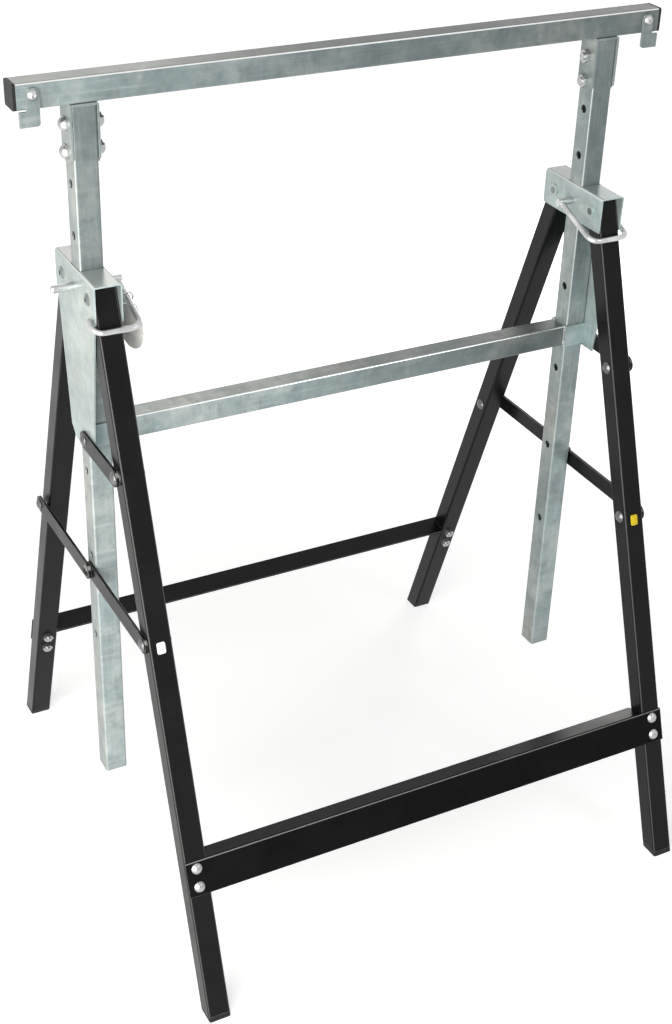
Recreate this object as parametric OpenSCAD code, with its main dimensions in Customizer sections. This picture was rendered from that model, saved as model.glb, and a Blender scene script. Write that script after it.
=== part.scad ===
// Folding builders' trestle with a rail on two uprights that slide in pinned head brackets.
// X runs along the rail, the front faces -Y, Z is up and the feet stand on Z = 0.

/* [Rail and uprights] */
// Overall length of the rail, end caps included
rail_len = 690; // [500:5:900]
// Side of the square tube of the rail, uprights and crossbar, and width of the legs
tube_w = 24; // [22:0.5:30]
// Wall of every tube
tube_wall = 1.5; // [1:0.1:2.5]
// Outer corner radius of every tube
tube_r = 2.4; // [1:0.1:3.5]
// Distance of each upright's middle from the rail's end
post_inset = 64; // [52:1:100]
// Length of an upright
post_len = 754; // [680:1:770]
// Diameter of the height holes
hole_d = 9; // [8:0.1:12]
// Spacing of the height holes
hole_pitch = 100; // [85:1:110]
// Number of evenly spaced height holes
hole_count = 6; // [3:1:6]
// Drop from the rail top to the first height hole
first_hole_drop = 100; // [98:1:110]
// Number of evenly spaced height holes above the pin
set_hole_count = 1; // [0:1:2]
// Flange of a rail end cap
cap_t = 3; // [2:0.5:6]
// Depth of a plug inside its tube
plug_depth = 18; // [10:1:30]

/* [Saddles] */
// Sheet of a saddle between rail and upright
saddle_t = 2; // [1.5:0.1:3]
// Width of a saddle from front to back
saddle_w = 26; // [24:0.5:34]
// Length of a saddle cheek down the upright
saddle_drop = 54; // [48:1:60]
// Corner cut at the foot of a saddle cheek
saddle_chamfer = 6; // [3:0.5:9]
// Drop from the upright's top to the first saddle bolt
saddle_bolt_drop = 18; // [14:0.5:20]
// Spacing of the two saddle bolts
saddle_bolt_gap = 25.5; // [22:0.5:28]

/* [Swivel stops] */
// Distance of a stop screw from the rail's end
stop_inset = 17; // [14:0.5:22]
// Drop of a stop screw below the rail top
stop_drop = 10; // [9:0.5:12]
// Thickness of a stop plate
stop_t = 2.5; // [1.5:0.1:4]
// Width of a stop's neck
stop_neck = 12; // [10:0.5:14]
// Width of a stop's pad
stop_pad_w = 19; // [16:0.5:24]
// Height of a stop's pad
stop_pad_h = 14; // [10:0.5:16]
// Reach of a stop from its screw
stop_reach = 28.5; // [26:0.5:34]
// Diameter of a stop screw
stop_screw_d = 5; // [4:0.5:6]

/* [Head brackets] */
// Height of the lock pins and leg pivots above the floor
pin_z = 700; // [660:5:740]
// Length of a head bracket from front to back
bracket_len = 105; // [98:1:112]
// Sheet of the head brackets and guide collars
sheet = 1.5; // [1:0.1:2.5]
// Bend radius of the head bracket
bracket_r = 3; // [2.6:0.1:5]
// Rise of the bracket's top above the pin
bracket_rise = 18.5; // [18:0.5:24]
// Drop of the bracket's short inner flange below the pin
flange_drop = 19; // [14:0.5:26]
// Drop of the tongue's lower end below the pin
tongue_drop = 171.5; // [166:0.5:190]
// Width of the tongue's lower end
tongue_low_w = 61; // [50:1:66]
// Step in from the bracket's ends to the tongue's upper corners
tongue_step = 2.5; // [1:0.5:8]
// Corner cut at the tongue's lower end
tongue_chamfer = 11; // [4:0.5:14]
// Drop of the crossbar's middle below the pin
crossbar_drop = 155.5; // [145:0.5:158]
// Gap between a sliding tube and what guides it
slide_gap = 0.5; // [0.4:0.1:1]

/* [Legs] */
// Depth of a leg tube from front to back
leg_d = 22; // [18:0.5:23]
// Distance of the leg pivots in front of and behind the pin
pivot_y = 34.5; // [33:0.5:40]
// Distance of the feet in front of and behind the pin
foot_y = 280; // [230:1:320]
// Length of a leg above its pivot
leg_top = 11; // [9:0.5:11.5]
// Sole of a foot cap
foot_t = 5; // [3:0.5:10]
// Diameter of the leg pivot bolts
pivot_d = 8; // [6:0.5:10]

/* [Leg bars] */
// Face height of the angle bar between two legs
bar_h = 38; // [34:1:50]
// Flange depth of the angle bar
bar_flange = 26; // [16:1:30]
// Sheet of the angle bar
bar_t = 2; // [1.5:0.1:4]
// Distance down the leg from its pivot to the bar's middle
bar_drop = 585.5; // [500:0.5:620]
// Spacing of the two bolts at each end of a bar
bar_bolt_gap = 20; // [16:0.5:22]
// Diameter of the bar bolts
bar_bolt_d = 6; // [4:0.5:8]

/* [Stays and struts] */
// Distance down each leg from its pivot to its stay
stay_drop = 337; // [300:1:400]
// Width of the stay links and struts
link_w = 18; // [16:0.5:22]
// Thickness of a stay link
link_t = 3; // [2:0.1:4]
// Diameter of the stay and strut rivets
rivet_d = 7; // [5:0.5:8]
// Distance down the front leg from its pivot to its strut
strut_drop = 169.5; // [160:0.5:172]
// Distance of the strut's stud in front of the pin's plane
strut_y = 9; // [4:0.5:14]
// Thickness of a strut
strut_t = 3; // [2:0.1:4]

/* [Lock pins] */
// Diameter of a lock pin
pin_d = 8; // [6:0.2:8.4]
// Diameter of the bail's wire
wire_d = 6; // [4:0.2:7]
// Reach of the bail from the pin's axis
bail_reach = 66.5; // [64:0.5:75]
// Bend radius of the bail's wire
bail_bend = 10; // [8:0.5:14]
// Slope of the bail below the horizontal, in degrees
bail_tilt = 20; // [10:1:24]
// Distance of the bail's inner run from the upright's middle
bail_in = 28.5; // [26:0.5:40]
// Length of the bail's return on the outer side
bail_return = 19; // [14:0.5:19]
// Length of the pin's tail outside the bracket
tail_len = 23.5; // [20:0.5:40]
// Radius of the round tag that hangs on the left bail
tag_r = 25.5; // [20:0.5:28]
// Distance of the tag's ring from the pin's axis, along the bail
tag_along = 24; // [14:1:34]
// Turn of the tag about the upright line through its hole, in degrees
tag_turn = 8; // [0:1:30]

/* [Hidden] */
$fn = 48;

// Finishes
zinc = "silver";
galvanised = "lightsteelblue";
enamel = "dimgray";
plastic = "black";

// How far every cut runs past the face it opens
overrun = 1;
// Radial clearance of a shank in its hole
fit = 0.06;
// Gap between two faces that turn past each other
turn_gap = 0.4;
// Least corner radius inside a tube
inner_r = 0.4;
// Place of the extra hole between the first two, as a share of their spacing
extra_hole_share = 0.5;
// Clearance of a plug in its tube
plug_gap = 0.2;

// Fastener heads
bolt_head_d = 14;
bolt_head_h = 7;
nut_h = 5.5;
bar_head_d = 12;
bar_head_h = 3.5;
bar_nut_h = 4.5;
rivet_head_d = 13;
rivet_head_h = 3;
pivot_head_h = 2.6;
pivot_nut_h = 1.6;
thread_show = 2;
screw_head_d = 10;
screw_head_h = 3;
screw_depth = 8;
socket_d = 4;
socket_depth = 1.8;
stop_corner_r = 3;
tail_tip = 2;
tag_t = 1;
tag_rim = 4;
tag_hole_d = 5;
ring_r = 7;
ring_wire_d = 1.6;
pivot_hollow_d = 4.5;
pivot_hollow_depth = 6;

// Places of the uprights and heights
post_x = rail_len / 2 - post_inset;
rail_top = pin_z + first_hole_drop + set_hole_count * hole_pitch;
rail_bottom = rail_top - tube_w;
post_top = rail_bottom - saddle_t;
crossbar_z = pin_z - crossbar_drop;

// Widths of the head bracket and of what it holds
guide_half = tube_w / 2 + slide_gap;
bracket_half = guide_half + sheet;
leg_half = tube_w / 2;
fork_half = guide_half + sheet;

// Leg angles and lengths
leg_angle = atan((foot_y - pivot_y) / pin_z);
leg_length = pin_z / cos(leg_angle) + leg_d;
function leg_side(front) = front ? -1 : 1;
// Point on a leg's axis, as [Y, Z], at a distance below its pivot
function leg_point(front, drop) = [
    leg_side(front) * (pivot_y + drop * sin(leg_angle)),
    pin_z - drop * cos(leg_angle)
];

// Stay geometry: both links are half of the line between the two leg points
stay_a = leg_point(true, stay_drop);
stay_b = leg_point(false, stay_drop);
stay_half = norm(stay_b - stay_a) / 2;
stay_angle = atan2(stay_b[1] - stay_a[1], stay_b[0] - stay_a[0]);
stay_front_x = post_x + leg_half + turn_gap;
stay_rear_x = stay_front_x + link_t + turn_gap;
strut_end = leg_point(true, strut_drop);
strut_len = -strut_y - strut_end[0];
strut_x = post_x + bracket_half;

// Outer run of the bail, measured from the upright's middle
bail_out = bracket_half + slide_gap + wire_d / 2;

// Tag and its ring: face of the tag beside the wire, ring's middle below the wire, and the ring's
// drop from its middle to the plane of the tag
tag_in = bail_in + wire_d / 2 + slide_gap;
ring_hang = ring_r - ring_wire_d / 2 - wire_d / 2 - fit;
ring_out = tag_in + tag_t / 2 - bail_in;
ring_drop = sqrt(ring_r * ring_r - ring_out * ring_out);

// Shared shapes

module on_side(side) {
    if (side > 0) {
        children();
    } else {
        mirror([1, 0, 0]) children();
    }
}

module both_sides() {
    children();
    mirror([1, 0, 0]) children();
}

module on_leg(front) {
    if (front) {
        translate([0, -pivot_y, pin_z]) rotate([-leg_angle, 0, 0]) children();
    } else {
        mirror([0, 1, 0]) translate([0, -pivot_y, pin_z]) rotate([-leg_angle, 0, 0]) children();
    }
}

module rounded_rect(w, d, r) {
    square([w - 2 * r, d], center = true);
    square([w, d - 2 * r], center = true);
    for (i = [-1, 1], j = [-1, 1]) {
        translate([i * (w / 2 - r), j * (d / 2 - r)]) circle(r);
    }
}

module tube_profile(w, d) {
    difference() {
        rounded_rect(w, d, tube_r);
        rounded_rect(w - 2 * tube_wall, d - 2 * tube_wall, max(tube_r - tube_wall, inner_r));
    }
}

module plug_profile(w, d) {
    gap = tube_wall + plug_gap;
    rounded_rect(w - 2 * gap, d - 2 * gap, max(tube_r - gap, inner_r));
}

// Channel section that opens downwards, with round bends at the top
module channel_profile(half, top, bottom, t, r) {
    difference() {
        union() {
            translate([-half, -bottom]) square([2 * half, top + bottom - r]);
            translate([r - half, top - r]) square([2 * (half - r), r]);
            for (i = [-1, 1]) {
                translate([i * (half - r), top - r]) circle(r);
            }
        }
        translate([t - half, -bottom - overrun]) square([2 * (half - t), top + bottom + overrun - t]);
    }
}

module x_cylinder(d, from, to) {
    translate([from, 0, 0]) rotate([0, 90, 0]) cylinder(d = d, h = to - from);
}

module dome(d, h) {
    ball = (d * d / 4 + h * h) / (2 * h);
    intersection() {
        translate([0, 0, h - ball]) sphere(ball);
        cylinder(d = d, h = h);
    }
}

module nut(size_d, bore, h) {
    difference() {
        cylinder(d = size_d, h = h, $fn = 6);
        translate([0, 0, -overrun]) cylinder(d = bore + 2 * fit, h = h + 2 * overrun);
    }
}

// Flat link with round ends, from the origin along X, with an eye at each end
module link(length, t, eye_d) {
    linear_extrude(t) difference() {
        union() {
            translate([0, -link_w / 2]) square([length, link_w]);
            for (x = [0, length]) {
                translate([x, 0]) circle(d = link_w);
            }
        }
        for (x = [0, length]) {
            translate([x, 0]) circle(d = eye_d);
        }
    }
}

// Stands a flat link in the YZ plane with its thickness along X
module link_at(x, point, angle) {
    translate([x, point[0], point[1]]) rotate([90, 0, 90]) rotate([0, 0, angle]) children();
}

// Round rivet along X with a dome at each end
module x_rivet(d, from, to, head_d, head_h) {
    x_cylinder(d, from, to);
    translate([to, 0, 0]) rotate([0, 90, 0]) dome(head_d, head_h);
    translate([from, 0, 0]) rotate([0, -90, 0]) dome(head_d, head_h);
}

// Rail

module rail() {
    length = rail_len - 2 * cap_t;
    color(galvanised) difference() {
        translate([-length / 2, 0, rail_top - tube_w / 2]) rotate([90, 0, 90]) linear_extrude(length)
            tube_profile(tube_w, tube_w);
        both_sides() translate([rail_len / 2 - stop_inset, 0, rail_top - stop_drop]) rotate([90, 0, 0])
            cylinder(d = stop_screw_d + 2 * fit, h = tube_w);
    }
}

module rail_cap(side) {
    color(plastic) on_side(side) translate([rail_len / 2, 0, rail_top - tube_w / 2]) rotate([0, -90, 0]) {
        linear_extrude(cap_t) rounded_rect(tube_w, tube_w, tube_r);
        translate([0, 0, cap_t]) linear_extrude(plug_depth - stop_inset / 2)
            plug_profile(tube_w, tube_w);
    }
}

module upright(side) {
    holes = concat([0, extra_hole_share], [for (i = [1 : hole_count - 1]) i]);
    color(galvanised) on_side(side) translate([post_x, 0, 0]) difference() {
        translate([0, 0, post_top - post_len]) linear_extrude(post_len) tube_profile(tube_w, tube_w);
        for (k = holes) {
            translate([0, 0, rail_top - first_hole_drop - k * hole_pitch])
                x_cylinder(hole_d, -tube_w, tube_w);
        }
        for (i = [0, 1]) {
            translate([0, 0, post_top - saddle_bolt_drop - i * saddle_bolt_gap])
                x_cylinder(pivot_d + 2 * fit, -tube_w, tube_w);
        }
    }
}

// Side view of a saddle cheek, with its two lower corners cut off
module saddle_outline() {
    low = saddle_drop + saddle_t;
    polygon([
        [-saddle_w / 2, 0],
        [saddle_w / 2, 0],
        [saddle_w / 2, saddle_chamfer - low],
        [saddle_w / 2 - saddle_chamfer, -low],
        [saddle_chamfer - saddle_w / 2, -low],
        [-saddle_w / 2, saddle_chamfer - low]
    ]);
}

module saddle(side) {
    half = tube_w / 2 + saddle_t;
    color(galvanised) on_side(side) translate([post_x, 0, rail_bottom]) difference() {
        intersection() {
            translate([0, saddle_w / 2, 0]) rotate([90, 0, 0]) linear_extrude(saddle_w)
                channel_profile(half, 0, saddle_drop + saddle_t, saddle_t, saddle_t);
            translate([-half, 0, 0]) rotate([90, 0, 90]) linear_extrude(2 * half) saddle_outline();
        }
        for (i = [0, 1]) {
            translate([0, 0, -saddle_t - saddle_bolt_drop - i * saddle_bolt_gap])
                x_cylinder(pivot_d + 2 * fit, -tube_w, tube_w);
        }
    }
}

module saddle_bolt_places() {
    both_sides() for (i = [0, 1]) {
        translate([post_x, 0, post_top - saddle_bolt_drop - i * saddle_bolt_gap]) children();
    }
}

module saddle_bolts() {
    half = tube_w / 2 + saddle_t;
    color(zinc) saddle_bolt_places() {
        x_cylinder(pivot_d, -half - nut_h - thread_show, half);
        translate([half, 0, 0]) rotate([0, 90, 0]) dome(bolt_head_d, bolt_head_h);
    }
}

module saddle_nuts() {
    half = tube_w / 2 + saddle_t;
    color(zinc) saddle_bolt_places() translate([-half, 0, 0]) rotate([0, -90, 0])
        nut(bolt_head_d, pivot_d, nut_h);
}

// Swivel stops

module stop_place(side) {
    on_side(side) translate([rail_len / 2 - stop_inset, 0, rail_top - stop_drop]) children();
}

// Round-headed screws with a six-sided socket
module stop_screws() {
    face = tube_w / 2 + stop_t + 2 * turn_gap;
    back = tube_w / 2 - screw_depth;
    color(zinc) both_sides() stop_place(1) rotate([90, 0, 0]) difference() {
        union() {
            translate([0, 0, back]) cylinder(d = stop_screw_d, h = face - back);
            translate([0, 0, face]) dome(screw_head_d, screw_head_h);
        }
        translate([0, 0, face + screw_head_h - socket_depth])
            cylinder(d = socket_d, h = socket_depth + overrun, $fn = 6);
    }
}

// Neck with a round head and a wider pad, drawn from the screw's axis
module stop_outline() {
    difference() {
        union() {
            circle(d = stop_neck);
            translate([-stop_neck / 2, -stop_reach]) square([stop_neck, stop_reach]);
            translate([-stop_neck / 2, -stop_reach]) square([stop_pad_w, stop_pad_h]);
        }
        translate([-stop_neck / 2, -stop_reach]) difference() {
            translate([-overrun, -overrun]) square(stop_corner_r + overrun);
            translate([stop_corner_r, stop_corner_r]) circle(stop_corner_r);
        }
        circle(d = stop_screw_d + 2 * fit);
    }
}

module stop(side) {
    color(galvanised) stop_place(side) translate([0, -tube_w / 2 - turn_gap, 0]) rotate([90, 0, 0])
        linear_extrude(stop_t) stop_outline();
}

// Head brackets with their long outer tongue

module tongue_outline() {
    top = bracket_len / 2 - tongue_step;
    low = tongue_low_w / 2;
    polygon([
        [-top, -flange_drop],
        [top, -flange_drop],
        [low, tongue_chamfer - tongue_drop],
        [low - tongue_chamfer, -tongue_drop],
        [-low, -tongue_drop]
    ]);
}

module head_bracket(side) {
    color(galvanised) on_side(side) translate([post_x, 0, pin_z]) difference() {
        union() {
            translate([0, bracket_len / 2, 0]) rotate([90, 0, 0]) linear_extrude(bracket_len)
                channel_profile(bracket_half, bracket_rise, flange_drop, sheet, bracket_r);
            translate([bracket_half - sheet, 0, 0]) rotate([90, 0, 90]) linear_extrude(sheet)
                tongue_outline();
        }
        translate([-guide_half, -guide_half, bracket_rise - sheet - overrun])
            cube([2 * guide_half, 2 * guide_half, sheet + 2 * overrun]);
        x_cylinder(pin_d + 2 * fit, -bracket_half - overrun, bracket_half + overrun);
        for (j = [-1, 1]) {
            translate([0, j * pivot_y, 0])
                x_cylinder(pivot_d + 2 * fit, -bracket_half - overrun, bracket_half + overrun);
        }
        translate([0, -strut_y, strut_end[1] - pin_z])
            x_cylinder(rivet_d + 2 * fit, guide_half - overrun, bracket_half + overrun);
    }
}

module guide_collar(side) {
    color(galvanised) on_side(side) translate([post_x, 0, crossbar_z - tube_w / 2]) linear_extrude(tube_w)
        difference() {
            translate([-fork_half, -fork_half]) square([fork_half + guide_half, 2 * fork_half]);
            translate([-guide_half, -guide_half]) square([2 * guide_half + overrun, 2 * guide_half]);
        }
}

module crossbar() {
    length = 2 * (post_x - fork_half);
    color(galvanised) translate([-length / 2, 0, crossbar_z]) rotate([90, 0, 90]) linear_extrude(length)
        tube_profile(tube_w, tube_w);
}

// Legs

module leg_body(front, side) {
    on_leg(front) on_side(side) translate([post_x, 0, -leg_length]) linear_extrude(leg_length + leg_top)
        children();
}

module leg_bar_holes(d) {
    for (i = [-1, 1]) {
        translate([0, 0, i * bar_bolt_gap / 2 - bar_drop]) rotate([90, 0, 0])
            cylinder(d = d, h = 2 * leg_d, center = true);
    }
}

module leg(front, side) {
    rivets = front ? [stay_drop, strut_drop] : [stay_drop];
    reach = 2 * foot_y;
    color(enamel) difference() {
        leg_body(front, side) tube_profile(tube_w, leg_d);
        translate([-rail_len, -reach, foot_t - reach]) cube([2 * rail_len, 2 * reach, reach]);
        on_leg(front) on_side(side) translate([post_x, 0, 0]) {
            x_cylinder(pivot_d + 2 * fit, -tube_w, tube_w);
            for (s = rivets) {
                translate([0, 0, -s]) x_cylinder(rivet_d + 2 * fit, -tube_w, tube_w);
            }
            leg_bar_holes(bar_bolt_d + 2 * fit);
        }
    }
}

module foot(front, side) {
    reach = 2 * foot_y;
    color(plastic) {
        intersection() {
            leg_body(front, side) rounded_rect(tube_w, leg_d, tube_r);
            translate([-rail_len, -reach, 0]) cube([2 * rail_len, 2 * reach, foot_t]);
        }
        intersection() {
            leg_body(front, side) plug_profile(tube_w, leg_d);
            translate([-rail_len, -reach, foot_t]) cube([2 * rail_len, 2 * reach, plug_depth]);
        }
    }
}

// Angle bar on the outer faces of two legs

module leg_bar(front) {
    half = post_x + leg_half;
    inside = post_x - leg_half - slide_gap;
    face = leg_d / 2 + bar_t;
    color(enamel) on_leg(front) translate([0, 0, -bar_drop]) difference() {
        translate([-half, 0, 0]) rotate([90, 0, 90]) linear_extrude(2 * half) difference() {
            translate([-face, -bar_h / 2]) square([bar_flange, bar_h]);
            translate([bar_t - face, -bar_h / 2 - overrun]) square([bar_flange, bar_h + overrun - bar_t]);
            translate([-face, bar_h / 2 - bar_t]) difference() {
                translate([-overrun, 0]) square([bar_t + overrun, bar_t + overrun]);
                translate([bar_t, 0]) circle(bar_t);
                translate([bar_t, -overrun]) square([overrun, bar_t + 2 * overrun]);
            }
        }
        both_sides() translate([inside, bar_t - face, -bar_h]) cube([2 * tube_w, 2 * leg_d, 2 * bar_h]);
        both_sides() translate([post_x, 0, bar_drop]) leg_bar_holes(bar_bolt_d + 2 * fit);
    }
}

module bar_bolt_places(front) {
    on_leg(front) both_sides() for (i = [-1, 1]) {
        translate([post_x, 0, i * bar_bolt_gap / 2 - bar_drop]) rotate([90, 0, 0]) children();
    }
}

module leg_bar_bolts(front) {
    face = leg_d / 2 + bar_t;
    tail = leg_d / 2 + bar_nut_h + thread_show;
    color(zinc) bar_bolt_places(front) {
        translate([0, 0, -tail]) cylinder(d = bar_bolt_d, h = face + tail);
        translate([0, 0, face]) dome(bar_head_d, bar_head_h);
    }
}

module leg_bar_nuts(front) {
    color(zinc) bar_bolt_places(front) translate([0, 0, -leg_d / 2 - bar_nut_h])
        nut(bar_head_d, bar_bolt_d, bar_nut_h);
}

// Pivot bolts of the legs in the head brackets

module pivot_places(front) {
    both_sides() translate([post_x, leg_side(front) * pivot_y, pin_z]) children();
}

module leg_bolts(front) {
    head_end = bracket_half + pivot_head_h;
    color(zinc) pivot_places(front) difference() {
        union() {
            x_cylinder(pivot_d, -bracket_half - pivot_nut_h, bracket_half);
            translate([bracket_half, 0, 0]) rotate([0, 90, 0]) dome(rivet_head_d, pivot_head_h);
        }
        x_cylinder(pivot_hollow_d, head_end - pivot_hollow_depth, head_end + overrun);
    }
}

module leg_nuts(front) {
    color(zinc) pivot_places(front) translate([-bracket_half, 0, 0]) rotate([0, -90, 0]) difference() {
        cylinder(d = rivet_head_d, h = pivot_nut_h);
        translate([0, 0, -overrun]) cylinder(d = pivot_d, h = pivot_nut_h + 2 * overrun);
    }
}

// Struts that tie the tongues to the front legs

module strut(side) {
    color(enamel) on_side(side) link_at(strut_x, strut_end, 0) link(strut_len, strut_t, rivet_d + 2 * fit);
}

module strut_studs() {
    color(zinc) both_sides() translate([0, -strut_y, strut_end[1]]) {
        x_cylinder(rivet_d, strut_x - sheet, strut_x + strut_t);
        translate([strut_x + strut_t, 0, 0]) rotate([0, 90, 0]) dome(rivet_head_d, rivet_head_h);
    }
}

module strut_rivets() {
    color(zinc) both_sides() translate([0, strut_end[0], strut_end[1]])
        x_rivet(rivet_d, post_x - leg_half, strut_x + strut_t, rivet_head_d, rivet_head_h);
}

module strut_spacers() {
    color(zinc) both_sides() translate([0, strut_end[0], strut_end[1]]) difference() {
        x_cylinder(rivet_head_d, post_x + leg_half, strut_x);
        x_cylinder(rivet_d + 2 * fit, post_x + leg_half - overrun, strut_x + overrun);
    }
}

// Two-link stays between the front and the rear legs

module stay_front_rivets() {
    color(enamel) both_sides() translate([0, stay_a[0], stay_a[1]])
        x_rivet(rivet_d, post_x - leg_half, stay_front_x + link_t + turn_gap, rivet_head_d, rivet_head_h);
}

module stay_rear_rivets() {
    color(enamel) both_sides() translate([0, stay_b[0], stay_b[1]])
        x_rivet(rivet_d, post_x - leg_half, stay_rear_x + link_t + turn_gap, rivet_head_d, rivet_head_h);
}

module stay_spacers() {
    color(zinc) both_sides() translate([0, stay_b[0], stay_b[1]]) difference() {
        x_cylinder(rivet_head_d, post_x + leg_half, stay_rear_x - turn_gap);
        x_cylinder(rivet_d + 2 * fit, post_x + leg_half - overrun, stay_rear_x);
    }
}

module stay_front(side) {
    color(enamel) on_side(side) link_at(stay_front_x, stay_a, stay_angle)
        link(stay_half, link_t, rivet_d + 2 * fit);
}

module stay_rear(side) {
    color(enamel) on_side(side) link_at(stay_rear_x, stay_b, stay_angle + 180)
        link(stay_half, link_t, rivet_d + 2 * fit);
}

module stay_joint(side) {
    middle = (stay_a + stay_b) / 2;
    color(enamel) on_side(side) translate([0, middle[0], middle[1]]) {
        x_cylinder(rivet_d, stay_rear_x, stay_rear_x + link_t);
        translate([stay_rear_x + link_t, 0, 0]) rotate([0, 90, 0]) dome(rivet_head_d, rivet_head_h);
    }
}

// Lock pins with a wire bail that passes round the front leg

module bail_frame(side) {
    on_side(side) translate([post_x, 0, pin_z]) rotate([bail_tilt, 0, 0]) children();
}

module wire_along_y(x, from, to) {
    translate([x, -from, 0]) rotate([90, 0, 0]) cylinder(d = wire_d, h = to - from);
}

module wire_elbow(x, y, angle) {
    translate([x, y, 0]) rotate([0, 0, angle]) rotate_extrude(angle = 90) translate([bail_bend, 0])
        circle(d = wire_d);
}

module bail(side) {
    straight = bail_reach - bail_bend;
    color(zinc) bail_frame(side) {
        x_cylinder(pin_d, -bail_in - pin_d / 2, -guide_half);
        wire_along_y(-bail_in, 0, straight);
        wire_elbow(bail_bend - bail_in, -straight, 180);
        translate([0, -bail_reach, 0]) x_cylinder(wire_d, bail_bend - bail_in, bail_out - bail_bend);
        wire_elbow(bail_out - bail_bend, -straight, 270);
        wire_along_y(bail_out, bail_reach - bail_return, straight);
    }
}

module lock_pin(side) {
    tip = bracket_half + tail_len - tail_tip;
    color(zinc) bail_frame(side) {
        x_cylinder(pin_d, guide_half, tip);
        translate([tip, 0, 0]) rotate([0, 90, 0])
            cylinder(d1 = pin_d, d2 = pin_d - 2 * tail_tip, h = tail_tip);
    }
}

// Round tag that hangs on the left bail by a small ring

module tag_frame() {
    bail_frame(-1) translate([-bail_in, -tag_along, -ring_hang]) children();
}

module tag_ring() {
    color(zinc) tag_frame() rotate([90, 0, 0]) rotate_extrude() translate([ring_r, 0])
        circle(d = ring_wire_d);
}

module pin_tag() {
    color(galvanised) tag_frame() translate([-ring_out, 0, -ring_drop]) rotate([-bail_tilt, 0, 0])
        rotate([0, 0, -tag_turn]) rotate([90, 0, 90]) translate([0, 0, -tag_t / 2])
            linear_extrude(tag_t) difference() {
                translate([0, tag_rim - tag_r]) circle(tag_r);
                circle(d = tag_hole_d);
            }
}

rail();
rail_cap(-1);  // rail_cap_l
rail_cap(1);  // rail_cap_r
upright(-1);  // upright_l
upright(1);  // upright_r
saddle(-1);  // saddle_l
saddle(1);  // saddle_r
saddle_bolts();
saddle_nuts();
stop_screws();
stop(-1);  // stop_l
stop(1);  // stop_r
head_bracket(-1);  // head_bracket_l
head_bracket(1);  // head_bracket_r
guide_collar(-1);  // guide_collar_l
guide_collar(1);  // guide_collar_r
crossbar();
leg(true, -1);  // front_leg_l
leg(true, 1);  // front_leg_r
foot(true, -1);  // front_foot_l
foot(true, 1);  // front_foot_r
leg_bar(true);  // front_bar
leg_bar_bolts(true);  // front_bar_bolts
leg_bar_nuts(true);  // front_bar_nuts
leg_bolts(true);  // front_leg_bolts
leg_nuts(true);  // front_leg_nuts
strut(-1);  // strut_l
strut(1);  // strut_r
strut_studs();
strut_rivets();
strut_spacers();
stay_front_rivets();
leg_bolts(false);  // rear_pivot_bolts
leg_nuts(false);  // rear_pivot_nuts
leg(false, -1);  // rear_leg_l
leg(false, 1);  // rear_leg_r
foot(false, -1);  // rear_foot_l
foot(false, 1);  // rear_foot_r
leg_bar(false);  // rear_bar
leg_bar_bolts(false);  // rear_bar_bolts
leg_bar_nuts(false);  // rear_bar_nuts
stay_rear_rivets();
stay_spacers();
stay_front(-1);  // stay_front_l
stay_front(1);  // stay_front_r
stay_rear(-1);  // stay_rear_l
stay_rear(1);  // stay_rear_r
stay_joint(-1);  // stay_joint_l
stay_joint(1);  // stay_joint_r
bail(-1);  // bail_l
bail(1);  // bail_r
lock_pin(-1);  // lock_pin_l
lock_pin(1);  // lock_pin_r
tag_ring();
pin_tag();
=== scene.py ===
import math
from typing import NamedTuple

import bmesh
import bpy
from bpy.props import FloatProperty, FloatVectorProperty, PointerProperty
from bpy.types import Operator, Panel, PropertyGroup
from mathutils import Matrix, Vector


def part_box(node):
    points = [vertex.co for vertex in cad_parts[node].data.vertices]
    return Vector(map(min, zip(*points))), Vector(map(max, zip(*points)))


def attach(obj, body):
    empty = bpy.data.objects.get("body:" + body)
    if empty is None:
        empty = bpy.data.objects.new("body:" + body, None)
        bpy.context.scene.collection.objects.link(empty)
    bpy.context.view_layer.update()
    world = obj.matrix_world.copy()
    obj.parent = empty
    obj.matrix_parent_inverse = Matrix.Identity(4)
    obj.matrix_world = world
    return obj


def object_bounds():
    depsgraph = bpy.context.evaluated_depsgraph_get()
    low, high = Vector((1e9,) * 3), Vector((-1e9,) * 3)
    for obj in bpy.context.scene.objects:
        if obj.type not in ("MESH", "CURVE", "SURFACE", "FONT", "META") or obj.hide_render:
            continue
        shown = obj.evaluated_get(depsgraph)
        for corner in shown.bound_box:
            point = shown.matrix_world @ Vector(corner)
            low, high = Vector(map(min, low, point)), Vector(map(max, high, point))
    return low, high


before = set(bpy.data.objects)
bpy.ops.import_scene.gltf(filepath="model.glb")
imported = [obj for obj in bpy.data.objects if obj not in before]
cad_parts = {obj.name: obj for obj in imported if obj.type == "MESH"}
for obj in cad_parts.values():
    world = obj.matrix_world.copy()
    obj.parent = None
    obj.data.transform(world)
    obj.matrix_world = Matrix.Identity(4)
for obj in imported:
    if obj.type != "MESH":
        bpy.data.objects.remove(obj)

bl_info = {
    "name": "Builders trestle",
    "version": (1, 0, 0),
    "blender": (4, 5, 0),
    "location": "3D View > Sidebar > Trestle",
    "description": "Finishes, weld seams, marking patches and studio for a folding builders trestle",
    "category": "Object",
}

CAD_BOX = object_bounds()

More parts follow.
